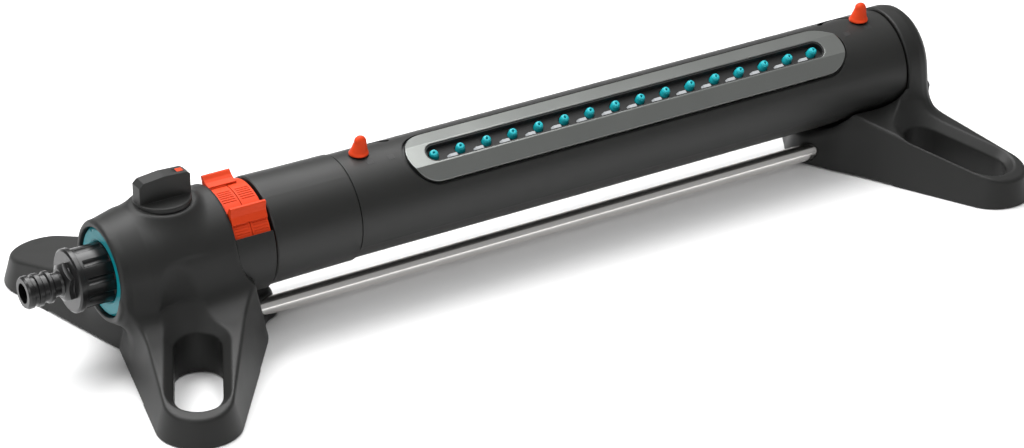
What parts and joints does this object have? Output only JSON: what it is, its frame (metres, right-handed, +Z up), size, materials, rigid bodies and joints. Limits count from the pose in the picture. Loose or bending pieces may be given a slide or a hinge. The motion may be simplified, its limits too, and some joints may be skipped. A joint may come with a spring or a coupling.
{
  "type": "oscillating lawn sprinkler",
  "caption": "Oscillating sprinkler: a spray tube with a row of jets swings between two footed end housings tied by a steel rod, with orange flow, sector and width controls.",
  "frame": {"origin": "middle of the bounding box on the ground plane, feet on z = 0", "axes": "+X along the spray tube from the hose inlet to the far end, +Z up, -Y towards the side that the jets lean to"},
  "size_m": [0.5508, 0.218, 0.0926],
  "materials": {
    "body_plastic": "fine matte moulded",
    "tube_plastic": "semi-matte moulded",
    "black_plastic": "matte moulded",
    "gloss_black": "glossy moulded",
    "orange_plastic": "semi-matte moulded",
    "turquoise_plastic": "semi-matte moulded",
    "nozzle_rubber": "soft matte",
    "seal_rubber": "matte",
    "surround_trim": "satin",
    "shutter_plastic": "matte",
    "gear_plastic": "matte, natural",
    "rod_steel": "polished",
    "fastener_steel": "zinc plated"
  },
  "bodies": {
    "base": {"inlet_housing": "body_plastic", "inlet_base_cover": "body_plastic", "inlet_cover_screws": "fastener_steel", "end_housing": "body_plastic", "end_base_cover": "body_plastic", "end_cover_screws": "fastener_steel", "steel_rod": "rod_steel", "inlet_connector": "gloss_black", "connector_nut": "gloss_black", "filter_ring": "turquoise_plastic", "filter_basket": "turquoise_plastic", "valve_body": "black_plastic", "turbine_plate": "black_plastic", "gearbox_case": "black_plastic", "bearing_plate": "black_plastic", "shaft_support": "black_plastic", "sector_collar": "body_plastic", "end_bush": "gear_plastic", "spindle_seal": "seal_rubber"},
    "flow_knob": {"flow_knob": "body_plastic", "flow_pointer": "orange_plastic", "valve_spindle": "black_plastic"},
    "sector_stop_back": {"sector_stop_back": "orange_plastic"},
    "sector_stop_front": {"sector_stop_front": "orange_plastic"},
    "reversing_lever": {"reversing_lever": "gear_plastic"},
    "turbine": {"turbine_wheel": "gear_plastic", "turbine_shaft": "fastener_steel"},
    "reduction": {"reduction_wheel": "gear_plastic", "output_pinion": "gear_plastic", "reduction_shaft": "fastener_steel"},
    "spray_tube": {"inlet_sleeve": "tube_plastic", "drive_gear": "gear_plastic", "tube_hub": "black_plastic", "pipe_seal": "seal_rubber", "water_pipe": "black_plastic", "tube_upper_shell": "tube_plastic", "tube_lower_shell": "tube_plastic", "tube_screws": "fastener_steel", "nozzle_surround": "surround_trim", "nozzle_tray": "black_plastic", "nozzles": "nozzle_rubber", "shutter_tabs": "shutter_plastic", "end_journal": "black_plastic"},
    "width_lever_inlet": {"width_lever_inlet": "orange_plastic", "width_cap_inlet": "orange_plastic"},
    "width_lever_far": {"width_lever_far": "orange_plastic", "width_cap_far": "orange_plastic"}
  },
  "joints": [
    {"name": "tube_oscillation", "type": "hinge", "parent": "base", "child": "spray_tube", "pos_m": [0, 0, 0.047], "axis": [1, 0, 0], "range_deg": [-84.5, 25.5]},
    {"name": "flow_knob_turn", "type": "hinge", "parent": "base", "child": "flow_knob", "pos_m": [-0.198, 0, 0.08], "axis": [0, 0, 1], "range_deg": [0, 90]},
    {"name": "sector_stop_back_turn", "type": "hinge", "parent": "base", "child": "sector_stop_back", "pos_m": [-0.166, 0, 0.047], "axis": [1, 0, 0], "range_deg": [-40, 8]},
    {"name": "sector_stop_front_turn", "type": "hinge", "parent": "base", "child": "sector_stop_front", "pos_m": [-0.156, 0, 0.047], "axis": [1, 0, 0], "range_deg": [-22, 12]},
    {"name": "reversing_lever_swing", "type": "hinge", "parent": "base", "child": "reversing_lever", "pos_m": [-0.156, 0, 0.047], "axis": [1, 0, 0], "range_deg": [-15, 15]},
    {"name": "reduction_turn", "type": "hinge", "parent": "base", "child": "reduction", "pos_m": [-0.1225, 0, 0.0335], "axis": [1, 0, 0], "range_deg": [-340, 104]},
    {"name": "turbine_turn", "type": "hinge", "parent": "base", "child": "turbine", "pos_m": [-0.184, 0, 0.04475], "axis": [1, 0, 0], "range_deg": [-208, 680]},
    {"name": "width_lever_inlet_turn", "type": "hinge", "parent": "spray_tube", "child": "width_lever_inlet", "pos_m": [-0.076, 0, 0.047], "axis": [0, -0.0349, 0.9994], "range_deg": [-138, 0]},
    {"name": "width_lever_far_turn", "type": "hinge", "parent": "spray_tube", "child": "width_lever_far", "pos_m": [0.212, 0, 0.047], "axis": [0, -0.0349, 0.9994], "range_deg": [0, 138]}
  ],
  "couplings": [
    {"joint": "reduction_turn", "follows": "tube_oscillation", "ratio": 4},
    {"joint": "turbine_turn", "follows": "tube_oscillation", "ratio": -8}
  ]
}
